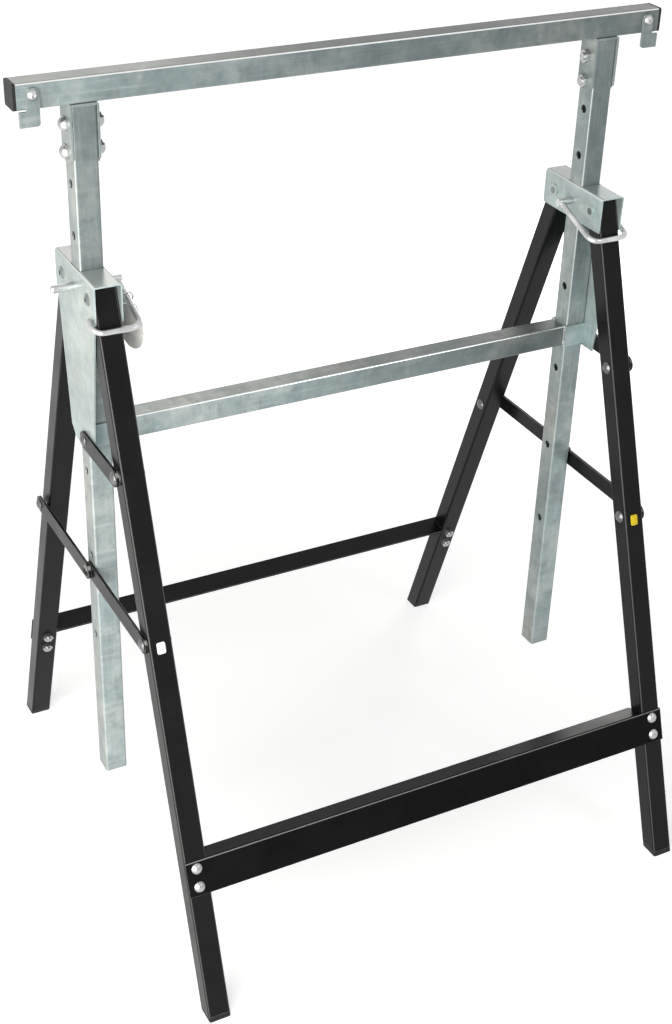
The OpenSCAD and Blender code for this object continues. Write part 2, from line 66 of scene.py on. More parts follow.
# Nodes of the frame, grouped by finish
RAIL_TUBES = ("rail",)
UPRIGHT_TUBES = ("upright_l", "upright_r")
CROSS_TUBES = ("crossbar",)
SADDLES = ("saddle_l", "saddle_r")
HEAD_SHEETS = ("head_bracket_l", "head_bracket_r")
COLLARS = ("guide_collar_l", "guide_collar_r")
STOPS = ("stop_l", "stop_r")
LEGS = ("front_leg_l", "front_leg_r", "rear_leg_l", "rear_leg_r")
FRONT_BARS = ("front_bar",)
REAR_BARS = ("rear_bar",)
STAYS = ("stay_front_l", "stay_front_r", "stay_rear_l", "stay_rear_r")
STRUTS = ("strut_l", "strut_r")
BLACK_RIVETS = ("stay_joint_l", "stay_joint_r")
BOLTS = (
    "saddle_bolts", "saddle_nuts", "stop_screws", "front_bar_bolts", "front_bar_nuts",
    "rear_bar_bolts", "rear_bar_nuts", "strut_spacers", "stay_spacers",
)
RIVETS = ("strut_studs", "strut_rivets", "stay_front_rivets", "stay_rear_rivets")
PIVOT_BOLTS = ("front_leg_bolts", "rear_pivot_bolts")
PIVOT_NUTS = ("front_leg_nuts", "rear_pivot_nuts")
WIRES = ("bail_l", "bail_r", "lock_pin_l", "lock_pin_r", "tag_ring")
TAGS = ("pin_tag",)
CAPS = ("rail_cap_l", "rail_cap_r")
FEET = ("front_foot_l", "front_foot_r", "rear_foot_l", "rear_foot_r")


# Settings that a user would change

class TrestleFinish(PropertyGroup):
    """Colours of the trestle's metals, enamel, plastic and patches."""
    galvanised_colour: FloatVectorProperty(
        name="Galvanised", description="Colour of the galvanised tubes, saddles and stops",
        subtype="COLOR", size=3, min=0, max=1, default=(0.29, 0.305, 0.30))
    sheet_colour: FloatVectorProperty(
        name="Galvanised sheet", description="Colour of the head brackets, collars and pivot nuts",
        subtype="COLOR", size=3, min=0, max=1, default=(0.385, 0.43, 0.425))
    zinc_colour: FloatVectorProperty(
        name="Zinc", description="Colour of the plated wire, pins and fasteners",
        subtype="COLOR", size=3, min=0, max=1, default=(0.78, 0.79, 0.79))
    enamel_colour: FloatVectorProperty(
        name="Enamel", description="Colour of the enamelled legs, bars and stays",
        subtype="COLOR", size=3, min=0, max=1, default=(0.0045, 0.0045, 0.0048))
    # Also the colour of the painted highlight on the enamel's upper edges and corners
    chip_and_sheen_colour: FloatVectorProperty(
        name="Worn edge", description="Colour where the enamel has worn thin",
        subtype="COLOR", size=3, min=0, max=1, default=(0.32, 0.32, 0.31))
    plastic_colour: FloatVectorProperty(
        name="Plastic", description="Colour of the end caps and feet",
        subtype="COLOR", size=3, min=0, max=1, default=(0.010, 0.0105, 0.0105))
    tag_colour: FloatVectorProperty(
        name="Tag", description="Colour of the dull tag on the left bail",
        subtype="COLOR", size=3, min=0, max=1, default=(0.86, 0.85, 0.83))
    left_patch_colour: FloatVectorProperty(
        name="Left patch", description="Colour of the bare patch on the left leg",
        subtype="COLOR", size=3, min=0, max=1, default=(0.80, 0.80, 0.79))
    right_patch_colour: FloatVectorProperty(
        name="Right patch", description="Colour of the bare patch on the right leg",
        subtype="COLOR", size=3, min=0, max=1, default=(0.82, 0.60, 0.02))


class TrestleDetail(PropertyGroup):
    """Sizes of the weld seams and marking patches."""
    bead_radius: FloatProperty(
        name="Weld bead", description="Half width of a weld seam",
        unit="LENGTH", min=0.0005, max=0.004, default=0.0019)
    bead_step: FloatProperty(
        name="Weld ripple", description="Distance between two ripples of a weld seam",
        unit="LENGTH", min=0.001, max=0.01, default=0.0026)
    patch_width: FloatProperty(
        name="Patch width", description="Width of a marking patch",
        unit="LENGTH", min=0.004, max=0.02, default=0.009)
    patch_height: FloatProperty(
        name="Patch height", description="Height of a marking patch",
        unit="LENGTH", min=0.004, max=0.03, default=0.012)
    patch_corner: FloatProperty(
        name="Patch corner", description="Corner radius of a marking patch",
        unit="LENGTH", min=0.0002, max=0.004, default=0.002)
    patch_thickness: FloatProperty(
        name="Patch thickness", description="Thickness of a marking patch",
        unit="LENGTH", min=0.0001, max=0.002, default=0.0004)
    patch_level: FloatProperty(
        name="Patch level", description="Height of a marking patch above the ground",
        unit="LENGTH", min=0.1, max=0.6, default=0.3815)


class TrestleStage(PropertyGroup):
    """Camera, lamps and floor."""
    camera_place: FloatVectorProperty(
        name="Camera place", description="Place of the camera",
        subtype="TRANSLATION", size=3, default=(-0.7612, -1.3862, 1.3423))
    camera_turn: FloatProperty(
        name="Camera turn", description="Turn of the view from straight ahead to the right",
        subtype="ANGLE", default=math.radians(28.535))
    camera_dip: FloatProperty(
        name="Camera dip", description="Angle of the view below the horizon",
        subtype="ANGLE", default=math.radians(31.274))
    camera_roll: FloatProperty(
        name="Camera roll", description="Tilt of the picture",
        subtype="ANGLE", default=math.radians(-1.971))
    lens: FloatProperty(
        name="Lens", description="Focal length for a picture 36 mm high",
        unit="CAMERA", min=20, max=200, default=58.765)
    shift: FloatVectorProperty(
        name="Shift", description="Shift of the picture, as a share of its height",
        size=2, default=(-0.00075, -0.0045))
    floor_size: FloatProperty(
        name="Floor", description="Side of the square floor",
        unit="LENGTH", min=2, max=200, default=60)
    floor_glow: FloatProperty(
        name="Floor glow", description="Light that the floor adds near the trestle to reach white",
        min=0, max=1, default=0.56)
    floor_reach: FloatProperty(
        name="Floor reach", description="Distance at which the floor glows fully white",
        unit="LENGTH", min=1, max=20, default=1.6)
    key_power: FloatProperty(
        name="Key lamp", description="Power of the soft lamp on the left",
        unit="POWER", min=0, max=500, default=44)
    edge_power: FloatProperty(
        name="Edge lamp", description="Power of the small lamp above on the right",
        unit="POWER", min=0, max=500, default=4.5)
    back_power: FloatProperty(
        name="Back lamp", description="Power of the lamp behind the trestle",
        unit="POWER", min=0, max=500, default=4)
    side_power: FloatProperty(
        name="Side lamp", description="Power of the soft lamp behind on the right",
        unit="POWER", min=0, max=500, default=16)
    fill_strength: FloatProperty(
        name="Sky light", description="Strength of the even light from all round",
        min=0, max=2, default=0.10)


def finish_settings():
    return bpy.context.scene.trestle_finish


def detail_settings():
    return bpy.context.scene.trestle_detail


def stage_settings():
    return bpy.context.scene.trestle_stage


# Helpers for node trees

# Sockets of a mix node for colours
MIX_SHARE, MIX_FIRST, MIX_SECOND, MIX_RESULT = 0, 6, 7, 2
EDGE_SAMPLES = 4
# Agreement of a surface with its rounded form, below which it counts as an edge
EDGE_START = 0.985
# Upward lean where a surface starts to count as a top, and where it fully does
TOP_START, TOP_FULL = 0.15, 0.5
# Values of a noise where a finish has its dark and its pale shade
CLOUD_LOW, CLOUD_HIGH = 0.35, 0.7
# Values of a noise where a finish is smoothest and dullest
ROUGH_LOW, ROUGH_HIGH = 0.3, 0.7


class Layer(NamedTuple):
    """A shade of a colour, with its shares at two values of a noise."""
    start: float
    end: float
    share_at_start: float
    share_at_end: float
    shade: float


class EdgeWearAndSheen(NamedTuple):
    """A paler shade of a colour along outer edges, partly from wearing and partly painted sheen, with
    the agreement at which it is fully there.
    """
    width: float
    full: float
    share: float
    shade: float


class PaintedFalloff(NamedTuple):
    """Painted light and shade that changes along one axis between two places, standing in for the
    lamps' falloff.
    """
    axis: str
    start: float
    end: float
    shade_at_start: float
    shade_at_end: float


class Tree:
    """A material's node tree with short calls for the nodes that the finishes share."""

    def __init__(self, name):
        self.material = bpy.data.materials.new(name)
        self.material.use_nodes = True
        self.nodes = self.material.node_tree.nodes
        self.links = self.material.node_tree.links
        self.nodes.clear()
        output = self.add("ShaderNodeOutputMaterial")
        self.shader = self.add("ShaderNodeBsdfPrincipled")
        self.join(self.shader.outputs["BSDF"], output.inputs["Surface"])

    def add(self, kind, **values):
        node = self.nodes.new(kind)
        for key, value in values.items():
            setattr(node, key, value)
        return node

    def join(self, source, target):
        """Links a socket to an input, or sets the input to a plain value."""
        if isinstance(source, bpy.types.NodeSocket):
            self.links.new(source, target)
        else:
            target.default_value = source

    def place(self, stretch=(1.0, 1.0, 1.0)):
        """Place on the piece in metres, stretched along the axes."""
        coordinates = self.add("ShaderNodeTexCoord")
        mapping = self.add("ShaderNodeMapping")
        mapping.inputs["Scale"].default_value = stretch
        self.join(coordinates.outputs["Object"], mapping.inputs["Vector"])
        return mapping.outputs["Vector"]

    def noise(self, place, scale, detail, rough):
        node = self.add("ShaderNodeTexNoise")
        self.join(place, node.inputs["Vector"])
        node.inputs["Scale"].default_value = scale
        node.inputs["Detail"].default_value = detail
        node.inputs["Roughness"].default_value = rough
        return node.outputs["Fac"]

    def cells(self, place, scale):
        """A grey value for each crystal of the zinc."""
        node = self.add("ShaderNodeTexVoronoi")
        self.join(place, node.inputs["Vector"])
        node.inputs["Scale"].default_value = scale
        grey = self.add("ShaderNodeRGBToBW")
        self.join(node.outputs["Color"], grey.inputs["Color"])
        return grey.outputs["Val"]

    def range(self, value, low, high, new_low, new_high):
        node = self.add("ShaderNodeMapRange")
        self.join(value, node.inputs["Value"])
        limits = (low, high, new_low, new_high)
        for key, limit in zip(("From Min", "From Max", "To Min", "To Max"), limits):
            node.inputs[key].default_value = limit
        return node.outputs["Result"]

    def math(self, operation, first, second):
        node = self.add("ShaderNodeMath", operation=operation)
        self.join(first, node.inputs[0])
        self.join(second, node.inputs[1])
        return node.outputs["Value"]

    def times(self, first, second):
        return self.math("MULTIPLY", first, second)

    def larger(self, first, second):
        return self.math("MAXIMUM", first, second)

    def mix(self, share, first, second, blend="MIX"):
        node = self.add("ShaderNodeMix", data_type="RGBA", blend_type=blend)
        self.join(share, node.inputs[MIX_SHARE])
        self.join(first, node.inputs[MIX_FIRST])
        self.join(second, node.inputs[MIX_SECOND])
        return node.outputs[MIX_RESULT]

    def share(self, value, layer, strength=1.0):
        """A layer's share of the colour, by a noise."""
        first = layer.share_at_start * strength
        last = layer.share_at_end * strength
        return self.range(value, layer.start, layer.end, first, last)

    def layer(self, base, value, layer, colour, strength=1.0):
        """Lays a shade of a colour over the base, by a noise."""
        return self.mix(self.share(value, layer, strength), base, shade(colour, layer.shade))

    def clouded(self, value, colour, dark, pale):
        """A colour that goes from a dark to a pale shade, by a noise."""
        share = self.range(value, CLOUD_LOW, CLOUD_HIGH, 0.0, 1.0)
        return self.mix(share, shade(colour, dark), shade(colour, pale))

    def roughness(self, value, smooth, dull):
        return self.range(value, ROUGH_LOW, ROUGH_HIGH, smooth, dull)

    def edges(self, width, full):
        """One along the outer edges of the piece, nought on its faces."""
        round_edge = self.add("ShaderNodeBevel", samples=EDGE_SAMPLES)
        round_edge.inputs["Radius"].default_value = width
        geometry = self.add("ShaderNodeNewGeometry")
        compare = self.add("ShaderNodeVectorMath", operation="DOT_PRODUCT")
        self.join(round_edge.outputs["Normal"], compare.inputs[0])
        self.join(geometry.outputs["Normal"], compare.inputs[1])
        return self.range(compare.outputs["Value"], EDGE_START, full, 0.0, 1.0)

    def add_edge_wear_and_sheen(self, base, edge_wear_and_sheen, colour):
        """Lays a shade of a colour over the outer edges: edges paler from wearing, and a painted sheen.
        """
        share = self.times(self.edges(edge_wear_and_sheen.width, edge_wear_and_sheen.full), edge_wear_and_sheen.share)
        return self.mix(share, base, shade(colour, edge_wear_and_sheen.shade))

    def corners(self, start, full):
        """How far the surface lies on a rounded corner, faces up, and faces front or rear."""
        coordinates = self.add("ShaderNodeTexCoord")
        size = self.add("ShaderNodeVectorMath", operation="ABSOLUTE")
        self.join(coordinates.outputs["Normal"], size.inputs[0])
        parts = self.add("ShaderNodeSeparateXYZ")
        self.join(size.outputs["Vector"], parts.inputs["Vector"])
        largest = self.larger(parts.outputs["X"], parts.outputs["Y"])
        largest = self.larger(largest, parts.outputs["Z"])
        upward = self.add("ShaderNodeSeparateXYZ")
        self.join(coordinates.outputs["Normal"], upward.inputs["Vector"])
        corner = self.range(largest, start, full, 0.0, 1.0)
        top = self.range(upward.outputs["Z"], TOP_START, TOP_FULL, 0.0, 1.0)
        return corner, top, parts.outputs["Y"]

    def fade(self, fade):
        """Painted light and shade that changes along one axis of the piece."""
        coordinates = self.add("ShaderNodeTexCoord")
        parts = self.add("ShaderNodeSeparateXYZ")
        self.join(coordinates.outputs["Object"], parts.inputs["Vector"])
        along = parts.outputs[fade.axis]
        return self.range(along, fade.start, fade.end, fade.shade_at_start, fade.shade_at_end)

    def bump(self, height, strength, distance):
        node = self.add("ShaderNodeBump")
        node.inputs["Strength"].default_value = strength
        node.inputs["Distance"].default_value = distance
        self.join(height, node.inputs["Height"])
        self.join(node.outputs["Normal"], self.shader.inputs["Normal"])

    def set(self, **values):
        """Sets inputs of the shader, with their names' spaces written as underscores."""
        for key, value in values.items():
            self.join(value, self.shader.inputs[key.replace("_", " ")])


def shade(colour, factor):
    """A colour made darker or lighter, with full opacity."""
    return tuple(min(1.0, part * factor) for part in colour) + (1.0,)


def plain_shade(colour, factor):
    """A colour made darker or lighter, without opacity."""
    return shade(colour, factor)[:3]


def tint(colour, share):
    """A colour multiplied by another, part by part."""
    return tuple(part * other for part, other in zip(colour, share))


# Finishes

WHITE = (1.0, 1.0, 1.0, 1.0)
COOL_ZINC = (0.83, 0.99, 1.03)
WARM_ZINC = (1.04, 1.01, 0.95)
# Colour, roughness and metalness of the painted highlight on upper rounded corners and tops
PAINTED_HIGHLIGHT_COLOUR = (0.93, 0.93, 0.92, 1.0)
PAINTED_HIGHLIGHT_ROUGHNESS = (0.22, 0.22, 0.22, 1.0)
PAINTED_HIGHLIGHT_METAL = 0.95
# Painted highlight: share and shade of the paler rounded corners
CORNER_HIGHLIGHT_SHARE = 0.35
CORNER_HIGHLIGHT_SHADE = 1.7
# Painted reflection: how much cooler the zinc is on faces to the front and rear
FRONT_PAINTED_COOL_TINT = 0.7
CRYSTAL_RELIEF = 0.35
# Stretch of the zinc's marks across the rolling direction, and of its runs along it
STREAK_STRETCH = 0.10
RUN_STRETCH = 0.06
TAG_STRETCH = (1.0, 0.25, 1.0)
ENAMEL_GLOSS = 0.145
FRONT_BAR_GLOSS = 0.05
# Share of the painted highlight on the enamel's upper edges and corners
ENAMEL_TOP_HIGHLIGHT = 0.7
FASTENER_SHADE = 0.6
RIVET_SHADE = 0.2
PIVOT_SHADE = 0.5
WIRE_SHADE = 0.78

DARK_CLOUDS = Layer(0.36, 0.60, 0.60, 0.0, 0.58)
PALE_CLOUDS = Layer(0.52, 0.74, 0.0, 0.55, 1.5)
DARK_BLOTCHES = Layer(0.30, 0.50, 0.65, 0.0, 0.52)
PALE_BLOTCHES = Layer(0.54, 0.74, 0.0, 0.50, 1.5)
STREAK_MARKS = Layer(0.50, 0.72, 0.0, 0.55, 1.45)
PALE_RUNS = Layer(0.54, 0.76, 0.0, 0.40, 1.45)
DARK_RUNS = Layer(0.28, 0.44, 0.30, 0.0, 0.65)
CRYSTAL_FACES = Layer(0.2, 0.8, 0.0, 0.16, 0.7)
TAG_STRIPES = Layer(0.5, 0.75, 0.0, 0.35, 1.4)
PATCH_SOIL = Layer(0.45, 0.75, 0.0, 0.6, 0.72)

# Two values of a noise, and the shares there
WARM_PATCHES = (0.38, 0.62, 0.25, 1.0)
STREAK_PLACES = (0.44, 0.60, 0.0, 1.0)
ENAMEL_CHIPS = (0.42, 0.62, 0.15, 0.8)

# Paler outer edges of each finish, partly from wearing and partly painted sheen
TUBE_EDGE_WEAR_AND_SHEEN = EdgeWearAndSheen(0.0012, 0.80, 0.5, 1.9)
PLATE_EDGE_WEAR_AND_SHEEN = EdgeWearAndSheen(0.0006, 0.80, 0.5, 1.3)
PLASTIC_EDGE_WEAR_AND_SHEEN = EdgeWearAndSheen(0.0010, 0.75, 0.4, 4.0)
TAG_EDGE_WEAR_AND_SHEEN = EdgeWearAndSheen(0.0008, 0.75, 0.5, 1.5)

# Painted light and shade on front, rear and top faces, standing in for the lamps' falloff: the rail
# lighter at its left end and darker towards the middle, the uprights lighter low down, the crossbar
# lighter at the left and darker at the right, the brackets lighter towards the front
RAIL_PAINTED_FALLOFF = PaintedFalloff("X", -0.30, 0.02, 1.12, 0.70)
UPRIGHT_PAINTED_FALLOFF = PaintedFalloff("Z", 0.35, 0.72, 1.42, 0.74)
CROSS_PAINTED_FALLOFF = PaintedFalloff("X", -0.22, 0.22, 1.60, 0.55)
BRACKET_PAINTED_FALLOFF = PaintedFalloff("Y", -0.05, 0.03, 1.20, 0.62)


def galvanised(
        name, colour, along, metallic=0.3, painted_corner_highlight=0.35, painted_top_highlight=0.0, painted_top_shade=1.0,
        mottle=1.0, fade=None):
    """Hot galvanised steel: clouds, faint rolling streaks and crystals, with painted light over them:
    highlights on upper corners and tops, paler corners, edges paler from wearing and painted sheen,
    a cool tint on front and rear faces, and shade that changes along the piece and on its tops.
    """
    tree = Tree(name)
    place = tree.place()
    across = tree.place(tuple(1.0 if axis == along else STREAK_STRETCH for axis in "xyz"))
    lengthwise = tree.place(tuple(RUN_STRETCH if axis == along else 1.0 for axis in "xyz"))
    clouds = tree.noise(place, scale=13.0, detail=5.0, rough=0.62)
    blotches = tree.noise(place, scale=48.0, detail=5.0, rough=0.68)
    patches = tree.noise(place, scale=6.0, detail=3.0, rough=0.5)
    streaks = tree.noise(across, scale=120.0, detail=3.0, rough=0.6)
    runs = tree.noise(lengthwise, scale=260.0, detail=4.0, rough=0.6)
    crystals = tree.cells(place, scale=190.0)
    grain = tree.noise(place, scale=900.0, detail=2.0, rough=0.5)
    corner, upward, facing = tree.corners(start=0.95, full=0.80)
    cool = tint(colour, COOL_ZINC)
    warm = tint(colour, WARM_ZINC)

    # Warm and cool patches of the zinc, with a painted cool reflection tint on front and rear faces
    warmth = tree.range(patches, *WARM_PATCHES)
    warmth = tree.math("SUBTRACT", warmth, tree.times(facing, FRONT_PAINTED_COOL_TINT))
    warmth = tree.range(warmth, 0.0, 1.0, 0.0, 1.0)
    base = tree.mix(warmth, shade(cool, 1.0), shade(warm, 1.0))
    base = tree.layer(base, clouds, DARK_CLOUDS, cool, mottle)
    base = tree.layer(base, clouds, PALE_CLOUDS, warm, mottle)
    base = tree.layer(base, blotches, DARK_BLOTCHES, cool, mottle)
    base = tree.layer(base, blotches, PALE_BLOTCHES, colour, mottle)
    marks = tree.share(streaks, STREAK_MARKS, mottle)
    marks = tree.times(marks, tree.range(patches, *STREAK_PLACES))
    base = tree.mix(marks, base, shade(colour, STREAK_MARKS.shade))
    base = tree.layer(base, runs, PALE_RUNS, colour)
    base = tree.layer(base, runs, DARK_RUNS, cool)
    base = tree.layer(base, crystals, CRYSTAL_FACES, colour)
    # Painted light and shade: front, rear and top faces lighter or darker along the piece
    if fade:
        base = tree.mix(tree.larger(facing, upward), base, tree.fade(fade), "MULTIPLY")
    # Painted shade on the tops: top faces made darker or lighter as a whole
    base = tree.mix(upward, base, shade(WHITE[:3], painted_top_shade), "MULTIPLY")

    # Painted highlight: bright, smooth and metallic on upper rounded corners, and on whole tops where
    # asked
    painted_highlight = tree.times(tree.times(corner, upward), painted_corner_highlight)
    painted_highlight = tree.larger(painted_highlight, tree.times(upward, painted_top_highlight))
    # Painted highlight: paler rounded corners
    base = tree.mix(tree.times(corner, CORNER_HIGHLIGHT_SHARE), base, shade(colour, CORNER_HIGHLIGHT_SHADE))
    base = tree.mix(painted_highlight, base, PAINTED_HIGHLIGHT_COLOUR)
    # Paler outer edges: partly wearing, partly painted sheen
    base = tree.add_edge_wear_and_sheen(base, TUBE_EDGE_WEAR_AND_SHEEN, colour)
    rough = tree.mix(painted_highlight, tree.roughness(clouds, smooth=0.28, dull=0.42), PAINTED_HIGHLIGHT_ROUGHNESS)
    shine = tree.larger(tree.times(painted_highlight, PAINTED_HIGHLIGHT_METAL), metallic)
    tree.set(Base_Color=base, Roughness=rough, Metallic=shine, Specular_IOR_Level=0.5)
    height = tree.math("ADD", tree.times(crystals, CRYSTAL_RELIEF), tree.math("ADD", grain, runs))
    tree.bump(height, strength=0.10, distance=0.0006)
    return tree.material


def bright_zinc(name, colour, metallic=0.9):
    """Bright zinc plate with a fine grain, a little dulled in clouds."""
    tree = Tree(name)
    place = tree.place()
    clouds = tree.noise(place, scale=70.0, detail=3.0, rough=0.5)
    grain = tree.noise(place, scale=1400.0, detail=2.0, rough=0.5)
    base = tree.clouded(clouds, colour, dark=0.80, pale=1.12)
    # Paler outer edges: partly wearing, partly painted sheen
    base = tree.add_edge_wear_and_sheen(base, PLATE_EDGE_WEAR_AND_SHEEN, colour)
    rough = tree.roughness(clouds, smooth=0.18, dull=0.34)
    tree.set(Base_Color=base, Roughness=rough, Metallic=metallic, Specular_IOR_Level=0.5)
    tree.bump(grain, strength=0.06, distance=0.0003)
    return tree.material


def black_enamel(name, colour, chip_and_sheen, gloss=ENAMEL_GLOSS):
    """Semi-gloss black enamel with a slight ripple, chipped in specks on its edges, with a painted
    highlight on its upper edges and corners.
    """
    tree = Tree(name)
    place = tree.place()
    clouds = tree.noise(place, scale=18.0, detail=4.0, rough=0.6)
    ripple = tree.noise(place, scale=420.0, detail=2.0, rough=0.5)
    specks = tree.noise(place, scale=300.0, detail=3.0, rough=0.7)
    base = tree.clouded(clouds, colour, dark=0.75, pale=1.45)
    sharp = tree.edges(width=0.0009, full=0.75)
    corner, upward, _ = tree.corners(start=0.92, full=0.80)
    chipped = tree.times(sharp, tree.range(specks, *ENAMEL_CHIPS))
    # Painted highlight on upper edges and corners, in the same colour as the chipped specks
    painted_highlight = tree.times(tree.larger(sharp, corner), tree.times(upward, ENAMEL_TOP_HIGHLIGHT))
    base = tree.mix(tree.larger(chipped, painted_highlight), base, shade(chip_and_sheen, 1.0))
    rough = tree.roughness(clouds, smooth=0.24, dull=0.36)
    tree.set(Base_Color=base, Roughness=rough, Metallic=0.0, Specular_IOR_Level=gloss)
    tree.bump(ripple, strength=0.08, distance=0.0005)
    return tree.material


def matte_plastic(name, colour):
    """Moulded plastic with a fine grain, and edges paler from rubbing and a painted sheen."""
    tree = Tree(name)
    place = tree.place()
    clouds = tree.noise(place, scale=60.0, detail=3.0, rough=0.6)
    grain = tree.noise(place, scale=1100.0, detail=3.0, rough=0.6)
    base = tree.clouded(clouds, colour, dark=0.8, pale=1.6)
    # Paler outer edges: partly wearing, partly painted sheen
    base = tree.add_edge_wear_and_sheen(base, PLASTIC_EDGE_WEAR_AND_SHEEN, colour)
    rough = tree.roughness(grain, smooth=0.46, dull=0.62)
    tree.set(Base_Color=base, Roughness=rough, Metallic=0.0, Specular_IOR_Level=0.28)
    tree.bump(grain, strength=0.16, distance=0.0004)
    return tree.material


def dull_tag(name, colour):
    """Dull plate with stripes from rubbing, and a slightly brighter rim from wearing and painted sheen.
    """
    tree = Tree(name)
    stripes = tree.noise(tree.place(TAG_STRETCH), scale=160.0, detail=4.0, rough=0.6)
    clouds = tree.noise(tree.place(), scale=45.0, detail=3.0, rough=0.6)
    base = tree.clouded(clouds, colour, dark=0.82, pale=1.12)
    base = tree.layer(base, stripes, TAG_STRIPES, colour)
    # Paler outer edges: partly wearing, partly painted sheen
    base = tree.add_edge_wear_and_sheen(base, TAG_EDGE_WEAR_AND_SHEEN, colour)
    rough = tree.roughness(stripes, smooth=0.48, dull=0.62)
    tree.set(Base_Color=base, Roughness=rough, Metallic=0.0, Specular_IOR_Level=0.5)
    tree.bump(stripes, strength=0.08, distance=0.0004)
    return tree.material


def patch_film(name, colour):
    """Bare self-adhesive film, a little soiled."""
    tree = Tree(name)
    place = tree.place()
    soil = tree.noise(place, scale=350.0, detail=4.0, rough=0.6)
    grain = tree.noise(place, scale=1500.0, detail=2.0, rough=0.5)
    base = tree.layer(shade(colour, 1.0), soil, PATCH_SOIL, colour)
    rough = tree.roughness(soil, smooth=0.38, dull=0.55)
    tree.set(Base_Color=base, Roughness=rough, Metallic=0.0, Specular_IOR_Level=0.4)
    tree.bump(grain, strength=0.05, distance=0.0002)
    return tree.material


def weld_metal(name, colour):
    """Weld metal under zinc: dull and grainy."""
    tree = Tree(name)
    place = tree.place()
    clouds = tree.noise(place, scale=160.0, detail=3.0, rough=0.6)
    grain = tree.noise(place, scale=800.0, detail=3.0, rough=0.6)
    base = tree.clouded(clouds, colour, dark=0.7, pale=1.3)
    rough = tree.roughness(grain, smooth=0.40, dull=0.58)
    tree.set(Base_Color=base, Roughness=rough, Metallic=0.6, Specular_IOR_Level=0.5)
    tree.bump(grain, strength=0.25, distance=0.0006)
    return tree.material


def give(nodes, material):
    """Puts one material on every slot of the named nodes."""
    for name in nodes:
        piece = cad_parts[name]
        piece.data.materials.clear()
        piece.data.materials.append(material)


# Pieces that the finish adds

def add_piece(name, mesh_maker, material, body):
    """Makes a mesh piece, smooth, that rides on a body."""
    mesh = bpy.data.meshes.new(name)
    work = bmesh.new()
    mesh_maker(work)
    bmesh.ops.recalc_face_normals(work, faces=work.faces)
    work.to_mesh(mesh)
    work.free()
    mesh.shade_smooth()
    mesh.materials.append(material)
    piece = bpy.data.objects.new(name, mesh)
    bpy.context.collection.objects.link(piece)
    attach(piece, body)
    return piece


BEAD_SIDES = 10
BEAD_STEPS_PER_RIPPLE = 4
BEAD_LEAST_STEPS = 8
BEAD_RIPPLE_SHARE = 0.16
BEAD_END_SHARE = 0.55


def weld_bead(work, start, end, radius, step):
    """A rippled bead along a straight seam, closed at both ends."""
    along = end - start
    length = along.length
    along.normalize()
    side = along.orthogonal().normalized()
    up = along.cross(side)
    rings = []
    count = max(BEAD_LEAST_STEPS, round(length / step) * BEAD_STEPS_PER_RIPPLE)
    for index in range(count + 1):
        share = index / count
        ripple = math.cos(math.tau * share * count / BEAD_STEPS_PER_RIPPLE)
        size = radius * (1.0 + BEAD_RIPPLE_SHARE * ripple)
        if index in (0, count):
            size = radius * BEAD_END_SHARE
        centre = start + along * length * share
        ring = []
        for corner in range(BEAD_SIDES):
            angle = math.tau * corner / BEAD_SIDES
            ring.append(work.verts.new(
                centre + side * math.cos(angle) * size + up * math.sin(angle) * size))
        rings.append(ring)
    for first, second in zip(rings, rings[1:]):
        for corner in range(BEAD_SIDES):
            after = (corner + 1) % BEAD_SIDES
            work.faces.new((first[corner], first[after], second[after], second[corner]))
    work.faces.new(rings[0][::-1])
    work.faces.new(rings[-1])


PATCH_ARC_STEPS = 6
PATCH_RIM_SHARE = 0.6


def rounded_patch(work, centre, across, down, outward, width, height, corner, thickness):
    """A thin plate with round corners and a slightly sunk rim that lies on a face."""
    outline = []
    for quarter, (x_sign, y_sign) in enumerate(((1, 1), (-1, 1), (-1, -1), (1, -1))):
        middle_x = x_sign * (width / 2 - corner)
        middle_y = y_sign * (height / 2 - corner)
        for step in range(PATCH_ARC_STEPS + 1):
            angle = math.pi / 2 * (quarter + step / PATCH_ARC_STEPS)
            outline.append((middle_x + corner * math.cos(angle), middle_y + corner * math.sin(angle)))
    inset = 1.0 - 2.0 * thickness / width
    levels = ((1.0, 0.0), (1.0, thickness * PATCH_RIM_SHARE), (inset, thickness))
    rings = []
    for scale, lift in levels:
        ring = []
        for x, y in outline:
            ring.append(work.verts.new(centre + across * x * scale + down * y * scale + outward * lift))
        rings.append(ring)
    count = len(outline)
    for first, second in zip(rings, rings[1:]):
        for index in range(count):
            after = (index + 1) % count
            work.faces.new((first[index], first[after], second[after], second[index]))
    work.faces.new(rings[0][::-1])
    work.faces.new(rings[-1])


def leg_front(name, height):
    """Middle of a front leg's front face at a height, with its directions across, down and outward."""
    low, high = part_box(name)
    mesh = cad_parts[name].data
    slope = front_slope(mesh)
    outward = Vector((0.0, -math.cos(slope), math.sin(slope)))
    down = Vector((0.0, -math.sin(slope), -math.cos(slope)))
    reach = max(vertex.co.dot(outward) for vertex in mesh.vertices)
    middle_x = (low[0] + high[0]) / 2
    y = (outward.z * height - reach) / math.cos(slope)
    return Vector((middle_x, y, height)), Vector((1.0, 0.0, 0.0)), down, outward


def front_slope(mesh):
    """Angle between the leg's length and the vertical, from its longest edge."""
    longest = Vector((0.0, 0.0, 0.0))
    for edge in mesh.edges:
        first, second = (mesh.vertices[index].co for index in edge.vertices)
        if (second - first).length > longest.length:
            longest = second - first
    return math.atan2(abs(longest.y), abs(longest.z))


# Operators, one for each group of like pieces

